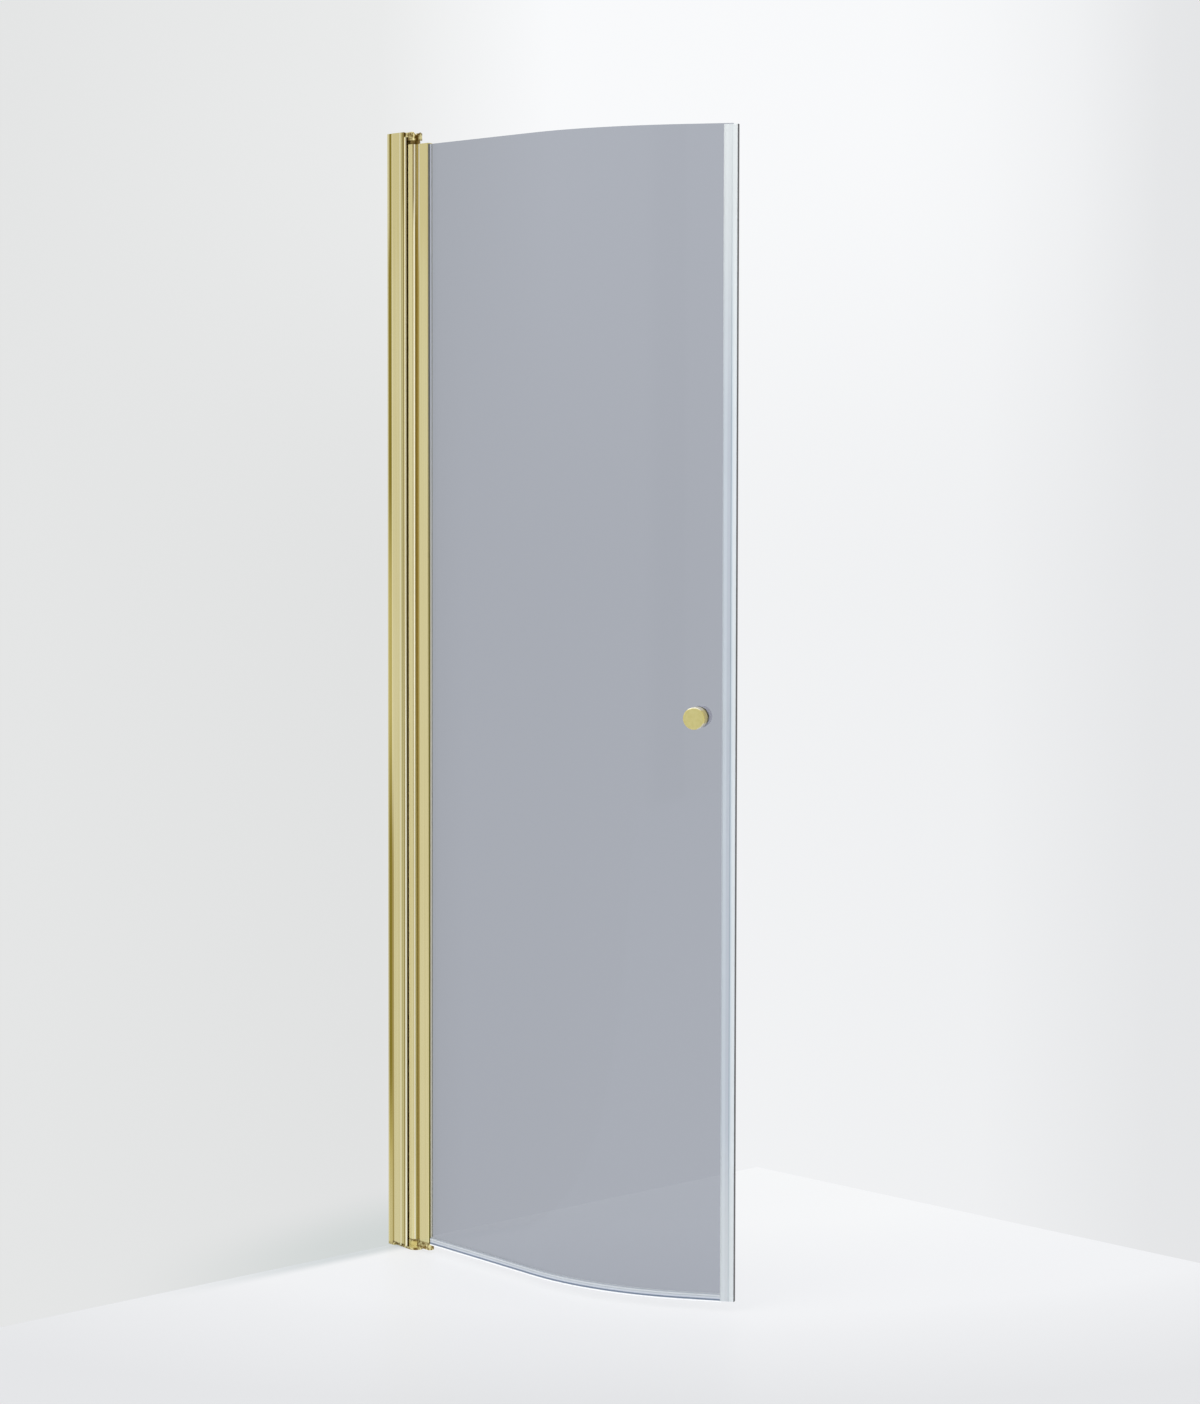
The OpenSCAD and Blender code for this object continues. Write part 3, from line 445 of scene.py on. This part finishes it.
finishes = {
    "jamb": drawn_brass("satin_brass_jamb", BRASS, BRASS_DEEP, JAMB_HIGHLIGHTS_AND_SHADE, slot=True, sawn=0.0085),
    "leaf": drawn_brass("satin_brass_leaf", shade(BRASS, 1.02), shade(BRASS_DEEP, 1.03),
                        LEAF_HIGHLIGHTS_AND_SHADE, rubbed=0.0622),
    "channel": channel_brass("satin_brass_channel", (0.65, 0.54, 0.155), (0.31, 0.235, 0.02)),
    "cast": cast_brass("cast_brass", (0.88, 0.79, 0.40), (0.22, 0.14, 0.03), 0.13),
    "turned": turned_brass("turned_brass", (0.78, 0.66, 0.26), (0.60, 0.48, 0.15)),
    # The collar's near black brown is painted shade in the gap under the head
    "collar": turned_brass("collar_painted_shade", (0.30, 0.21, 0.07), (0.12, 0.08, 0.025), 0.2),
    "knob": knob_brass("knob_brass", side=(0.88, 0.74, 0.28), glint=(0.98, 0.95, 0.84),
                       edge=(1.0, 0.90, 0.60)),
    "inner_knob": knob_brass("inner_knob_brass", side=(0.88, 0.86, 0.98),
                             glint=(0.88, 0.86, 0.98), edge=(1.0, 1.0, 1.0)),
    "steel": steel("ground_steel"),
    "nylon": moulded("dark_nylon", (0.10, 0.09, 0.055), 0.5),
    "packer": moulded("brass_nylon", (0.34, 0.28, 0.11), 0.4),
    "rubber": moulded("black_rubber", (0.028, 0.030, 0.034), 0.5),
    "magnet": moulded("magnet_rubber", (0.095, 0.095, 0.10), 0.5),
    "gasket": gasket_rubber("olive_gasket"),
    "inner_gasket": moulded("pale_gasket", (0.42, 0.42, 0.36), 0.5),
    "glass": smoked_glass("smoked_glass"),
    "washer": clear_washer("clear_washer", (0.72, 0.74, 0.78)),
    # Bottom seal: painted light in the white band low on the lip, painted shade in the blue grey
    # line above it
    "seal": banded_seal("clear_bottom_seal", lambda x, y, z: z, 0.016, 0.0275, [
        (0.00, (250, 252, 254)), (0.16, (250, 252, 254)), (0.21, (116, 131, 154)),
        (0.38, (126, 141, 162)), (0.46, (212, 220, 233)), (0.64, (226, 232, 241)),
        (0.70, (204, 212, 220)), (0.78, (206, 213, 220)), (0.84, (232, 238, 243)),
        (1.00, (234, 239, 243))], body=0.9, glow=0.22),
    "strip": banded_seal(
        "clear_closing_strip", lambda x, y, z: distance(x, y, CLOSING_EDGE, ALONG),
        -0.0178, 0.0055, [
            (0.00, (198, 206, 214)), (0.07, (202, 210, 218)), (0.10, (216, 225, 233)),
            (0.30, (216, 225, 233)), (0.36, (206, 214, 224)), (0.57, (204, 212, 222)),
            (0.60, (178, 192, 204)), (0.64, (178, 192, 204)), (0.67, (222, 234, 242)),
            (0.80, (242, 249, 253)), (1.00, (243, 250, 253))], body=0.88, lift=0.8),
}
nodes_by_finish = {
    "channel": ["wall_channel"],
    "jamb": ["jamb_profile"],
    "leaf": ["door_profile", "leaf_top_cap"],
    "cast": ["channel_foot_cap", "channel_top_plug", "top_bracket", "bottom_bracket",
             "bottom_shoe"],
    "turned": ["jamb_screws", "bracket_screws", "profile_screws", "lower_lift_cam",
               "upper_lift_cam"],
    "collar": ["top_collar"],
    "knob": ["outer_knob"],
    "inner_knob": ["inner_knob"],
    "steel": ["top_pivot_pin", "lower_spindle", "spindle_circlip", "knob_stud",
              "knob_grub_screws"],
    "nylon": ["top_bush"],
    "packer": ["leaf_bottom_cap"],
    "rubber": ["hinge_seal", "setting_blocks"],
    "magnet": ["magnet_strip"],
    "gasket": ["outer_gasket"],
    "inner_gasket": ["inner_gasket"],
    "glass": ["glass_pane"],
    "washer": ["knob_sleeve", "knob_washers"],
    "seal": ["bottom_seal"],
    "strip": ["closing_strip"],
}
for finish, node_names in nodes_by_finish.items():
    for node_name in node_names:
        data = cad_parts[node_name].data
        data.materials.clear()
        data.materials.append(finishes[finish])


def grid_mesh(name, points, finish, close_u=False, smooth=True):
    """Turns a grid of points (rows, columns, 3) into a mesh object of quads; close_u joins the
    last column to the first."""
    rows, cols = points.shape[:2]
    index = np.arange(rows * cols).reshape(rows, cols)
    right = np.roll(index, -1, axis=1) if close_u else index[:, 1:]
    left = index if close_u else index[:, :-1]
    quads = np.stack([left[:-1], right[:-1], right[1:], left[1:]], -1).reshape(-1, 4)
    mesh = bpy.data.meshes.new(name)
    mesh.from_pydata(points.reshape(-1, 3).tolist(), [], quads.tolist())
    mesh.materials.append(finish)
    mesh.polygons.foreach_set("use_smooth", np.full(len(mesh.polygons), smooth))
    mesh.update()
    made = bpy.data.objects.new(name, mesh)
    bpy.context.scene.collection.objects.link(made)
    return made


def rework(mesh, change):
    """Applies change to the mesh as a bmesh, then turns its faces outwards."""
    work = bmesh.new()
    work.from_mesh(mesh)
    change(work)
    bmesh.ops.recalc_face_normals(work, faces=work.faces)
    work.to_mesh(mesh)
    work.free()
    mesh.update()


def weld(work):
    """Joins doubled points, so that poles and seams close."""
    bmesh.ops.remove_doubles(work, verts=work.verts, dist=1e-6)
    bmesh.ops.dissolve_degenerate(work, edges=work.edges, dist=1e-7)


def arc(centre, radius, start, end, steps):
    """Points (r, h) on a circle about centre, from angle start to end in degrees."""
    a = np.radians(np.linspace(start, end, steps))
    return np.stack([centre[0] + radius * np.cos(a), centre[1] + radius * np.sin(a)], -1)


def knob_profile():
    """Half section of the knob: foot with a shadow gap, rounded lower edge, straight side,
    rounded rim, and a face that dips by a tenth of a millimetre in the middle."""
    foot_r, foot_h, edge, rim, dish = KNOB_R - 0.0025, 0.0012, 0.0010, 0.0014, 0.0001
    inner = np.linspace(KNOB_R - rim, 0.0, 24)
    dip = dish * (1.0 - (inner / (KNOB_R - rim)) ** 2) ** 2
    return np.concatenate([
        [[0.0, 0.0], [foot_r, 0.0], [foot_r, foot_h]],
        arc((KNOB_R - edge, foot_h + edge), edge, -90, 0, 8),
        arc((KNOB_R - rim, KNOB_LEN - rim), rim, 0, 90, 12),
        np.stack([inner, KNOB_LEN - dip], -1)])


def lathe(name, profile, origin, axis, finish, steps=128):
    """Turns a profile of (radius, height) about an axis: each point is origin + height along
    the axis + radius in the direction that goes round it. Both ends lie on the axis."""
    side = np.cross(UP, axis)
    up = np.cross(axis, side)
    turn = np.linspace(0.0, 2.0 * np.pi, steps, endpoint=False)
    ring = np.cos(turn)[:, None] * side + np.sin(turn)[:, None] * up
    radius, height = profile[:, 0][:, None, None], profile[:, 1][:, None, None]
    made = grid_mesh(name, origin + height * axis + radius * ring[None], finish, close_u=True)
    rework(made.data, weld)
    return made


def drawn_section(name, outline, finish, rows=24):
    """Carries a closed outline of (along, inward) millimetres from the glass edge straight up:
    each point is edge + along * t + inward * n + height, with flat ends."""
    outline = np.asarray(outline) * 0.001
    heights = np.linspace(STRIP_LOW, STRIP_HIGH, rows)
    plan = CLOSING_EDGE + outline[:, :1] * ALONG + outline[:, 1:] * INWARD
    made = grid_mesh(name, plan[None] + heights[:, None, None] * UP, finish,
                     close_u=True, smooth=False)

    def cap_ends(work):
        work.verts.ensure_lookup_table()
        count = len(outline)
        for first in (0, count * (rows - 1)):
            work.faces.new([work.verts[i] for i in range(first, first + count)])

    rework(made.data, cap_ends)
    return made


def both_sides(half):
    """An outline's outer half, followed by its mirror image about the middle of the glass."""
    return half + [(along, -inward) for along, inward in reversed(half)]


# Two lips on the glass with a bead at their ends, and the box in front of the glass edge
closing_outline = both_sides([
    (-17.6, -3.02), (-17.6, -4.4), (-17.2, -4.8), (-16.3, -4.8), (-15.9, -4.3), (-4.2, -4.3),
    (-3.8, -4.0), (-3.4, -4.0), (-3.0, -4.4), (5.3, -4.4), (5.5, -4.2)])
closing_outline += [(0.1, 3.02), (0.1, -3.02)]
magnet_outline = both_sides([(5.52, -4.5), (6.2, -4.5), (6.5, -4.2)])
closing_strip = drawn_section("closing_strip_drawn", closing_outline, finishes["strip"])
magnet_strip = drawn_section("magnet_strip_drawn", magnet_outline, finishes["magnet"])


def turned_knob(name, side, finish):
    """A knob on its washer, on the outer face of the glass for side -1 and the inner for 1."""
    seat = KNOB_ON_GLASS + side * (GLASS_HALF + WASHER) * INWARD
    return lathe(name, knob_profile(), seat, side * INWARD, finishes[finish])


outer_knob = turned_knob("outer_knob_turned", -1.0, "knob")
inner_knob = turned_knob("inner_knob_turned", 1.0, "inner_knob")

for piece, node_name, slot in ((closing_strip, "closing_strip", "clear_seal"),
                               (magnet_strip, "magnet_strip", "magnet"),
                               (outer_knob, "outer_knob", "knob_brass"),
                               (inner_knob, "inner_knob", "knob_brass")):
    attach(piece, "leaf")
    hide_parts(node_name)


# Display levels of the floor's painted light, brightest in the corner of the room and falling off
# to three metres out, and of the painted shade along the wall that carries the door
FLOOR_LEVELS = [
    (0.00, (250, 251, 252)), (0.20, (250, 251, 252)), (0.36, (245, 246, 248)),
    (0.45, (243, 244, 246)), (0.50, (239, 240, 242)), (0.61, (232, 233, 235)),
    (0.66, (229, 230, 232)), (1.00, (226, 227, 229))]
FLOOR_SHADE_BY_WALL = (214, 219, 221)
OWN_TONE = 0.75


def floor_finish():
    """Plain pale floor: three quarters of what is seen is its own pale tone, a painted light that
    is brightest in the corner of the room, so that the shadows on it stay soft. Along the wall
    that carries the door it carries a painted shade, from the front up to the foot of the profile."""
    f = Finish("pale_floor")
    x, y, _ = f.axes()
    cloud = f.noise(0.8)
    # Distance from the corner of the room, stretched most along X
    out = (((x + 0.1) * 1.2) ** 2.0 + ((0.95 - y) * 1.03) ** 2.0) ** 0.5
    tone = f.tones(tones_of(FLOOR_LEVELS), out * 0.33 + cloud * 0.01)
    corner_x, corner_y, _ = CORNER.tolist()
    from_wall = x - corner_x - (corner_y - y) * NEAR_WALL_SLOPE
    shade_by_wall = (1.0 - from_wall.ramp(0.012, 0.056)) * y.ramp(-0.62, -0.12)
    shade_by_wall = shade_by_wall * (1.0 - y.ramp(0.02, 0.08))
    tone = f.mix(shade_by_wall, tone, tone_of(*FLOOR_SHADE_BY_WALL))
    lit = f.surface(Base_Color=tone, Roughness=0.32 + cloud * 0.1)
    own = f.node("ShaderNodeEmission", {}, tone, 1.0)
    return f.done(f.blend(f.seen() * OWN_TONE, lit, own))


def floor_sheet():
    """Floor from the corner of the room: corner + u along the far wall + v along the wall that
    carries the door, towards the front."""
    far_wall = FLOOR_REACH * np.array([1.0, FAR_WALL_SLOPE, 0.0])
    near_wall = FLOOR_REACH * np.array([NEAR_WALL_SLOPE, -1.0, 0.0])
    u, v = np.meshgrid(np.linspace(0.0, 1.0, 40), np.linspace(0.0, 1.0, 40))
    points = CORNER + u[..., None] * far_wall + v[..., None] * near_wall
    return grid_mesh("floor", points, floor_finish(), smooth=False)


floor_sheet()


def looking(place, ahead, roll=0.0):
    """Matrix of a lamp or camera at place that looks ahead, rolled about that line: its side is
    ahead x up, and its own up is side x ahead."""
    ahead = np.asarray(ahead) / np.linalg.norm(ahead)
    side = np.cross(ahead, UP)
    side /= np.linalg.norm(side)
    up = np.cross(side, ahead)
    side, up = (math.cos(roll) * side + math.sin(roll) * up,
                math.cos(roll) * up - math.sin(roll) * side)
    matrix = np.eye(4)
    matrix[:3] = np.stack([side, up, -ahead, place], -1)
    return Matrix(matrix.tolist())


def studio_light(name, place, aim, size, watts):
    """Soft square light at place, turned to aim."""
    data = bpy.data.lights.new(name, "AREA")
    data.shape, data.size, data.size_y, data.energy = "RECTANGLE", size, size, watts
    made = bpy.data.objects.new(name, data)
    bpy.context.scene.collection.objects.link(made)
    made.matrix_world = looking(place, np.subtract(aim, place))


studio_light("key_from_front_left", (1.0, -5.0, 4.5), (0.4, 0.0, 1.0), 3.0, 90)
studio_light("fill_from_above", (1.5, -0.5, 5.5), (0.5, 0.2, 0.0), 4.0, 60)

# The world by compass bearing in degrees: display levels of the walls, low and high up, and
# brightness of the side that only brass and glass mirror, one lamp with a dim gap beside it
WALL_LOW = [(-138.2, 229), (-135.0, 240), (-130.0, 243), (-126.2, 240), (-125.2, 226),
            (-119.0, 230)]
WALL_HIGH = [(-138.2, 228), (-136.2, 243), (-134.4, 249), (-127.8, 250), (-125.2, 235),
             (-119.0, 229)]
LAMP_SIDE = [
    (-100, 0.74), (-90, 0.80), (-72, 0.80), (-64, 0.70), (-20, 0.72), (6, 0.70), (13, 0.52),
    (23, 0.52), (28, 1.08), (45, 1.08), (50, 0.50), (61, 0.34), (106, 0.34), (122, 0.62),
    (150, 0.70)]
WALLS_END, FAR_WALL_FROM, PROFILE_FOOT = -112.0, -126.0, -125.4
FAR_WALL_BLUE = 1.5
WALL_SHADE_BY_FOOT, OTHER_SIDE = (209, 214, 213), (228, 229, 229)
GAP_UNDER, GAP_WARMTH = 0.4, 0.06
LIGHT_OF_ROOM = (0.72, 0.72, 0.73)


def share_of_turn(degrees):
    return (degrees + 180.0) / 360.0


def pale_room():
    """World: even light all round. The lens, mirrors and glass see pale walls by bearing,
    brighter high up in the corner, with a soft painted shadow above the foot of the wall profile."""
    world = bpy.data.worlds.new("studio")
    bpy.context.scene.world = world
    world.use_nodes = True
    w = Finish("studio", world.node_tree)
    dx, dy, dz = w.axes(w.node("ShaderNodeTexCoord", {}, out="Generated"))
    around = w.node("ShaderNodeMath", dict(operation="ARCTAN2"), dx, dy * -1.0)
    bearing = around * (0.5 / math.pi) + 0.5

    def wall_tones(levels):
        return w.tones([
            (share_of_turn(d), tone_of(v - 1, v, v + FAR_WALL_BLUE * (d < FAR_WALL_FROM)))
            for d, v in levels], bearing)

    walls = w.mix(dz.ramp(-0.05, 0.10), wall_tones(WALL_LOW), wall_tones(WALL_HIGH))
    # The painted shade's upper edge falls by 0.21 for each radian away from the profile
    aside = (bearing - share_of_turn(PROFILE_FOOT)) * (2.0 * math.pi)
    shade_by_foot = (dz + aside * 0.21).ramp(-0.207, -0.222) * (1.0 - aside.ramp(0.0, 0.085))
    shade_by_foot = shade_by_foot * aside.ramp(-0.010, -0.002)
    walls = w.mix(shade_by_foot, walls, tone_of(*WALL_SHADE_BY_FOOT))

    warmth = [GAP_WARMTH * (v < GAP_UNDER) for _, v in LAMP_SIDE]
    lamp_side = w.tones([
        (share_of_turn(d), (v, v * 0.99 - warm, v * 0.98 - 3 * warm))
        for (d, v), warm in zip(LAMP_SIDE, warmth)], bearing)
    behind = w.node("ShaderNodeMath", dict(operation="GREATER_THAN"),
                    bearing, share_of_turn(WALLS_END))
    other_side = w.mix(w.ray("Is Glossy Ray"), tone_of(*OTHER_SIDE), lamp_side)
    shown = w.mix(w.seen(), LIGHT_OF_ROOM, w.mix(behind, walls, other_side))
    w.node("ShaderNodeOutputWorld", {}, Surface=w.node("ShaderNodeBackground", {}, shown, 1.0))


pale_room()

# Camera at the photograph's place: turn and dip of its line of sight, and its roll, in radians
STAND = (5.14162, -3.65528, 1.4494)
TURN, DIP, ROLL = 2.46503, 0.0505, 0.0018
lens = bpy.data.cameras.new("camera")
lens.sensor_width, lens.lens = 36.0, 89.824
lens.shift_x, lens.shift_y = 0.0001, -0.058
lens.clip_start, lens.clip_end = 0.1, 100.0
camera = bpy.data.objects.new("camera", lens)
bpy.context.scene.collection.objects.link(camera)
bpy.context.scene.camera = camera
camera.matrix_world = looking(STAND, (
    math.cos(TURN) * math.cos(DIP), math.sin(TURN) * math.cos(DIP), -math.sin(DIP)), ROLL)

bpy.context.scene.view_settings.view_transform = "Standard"
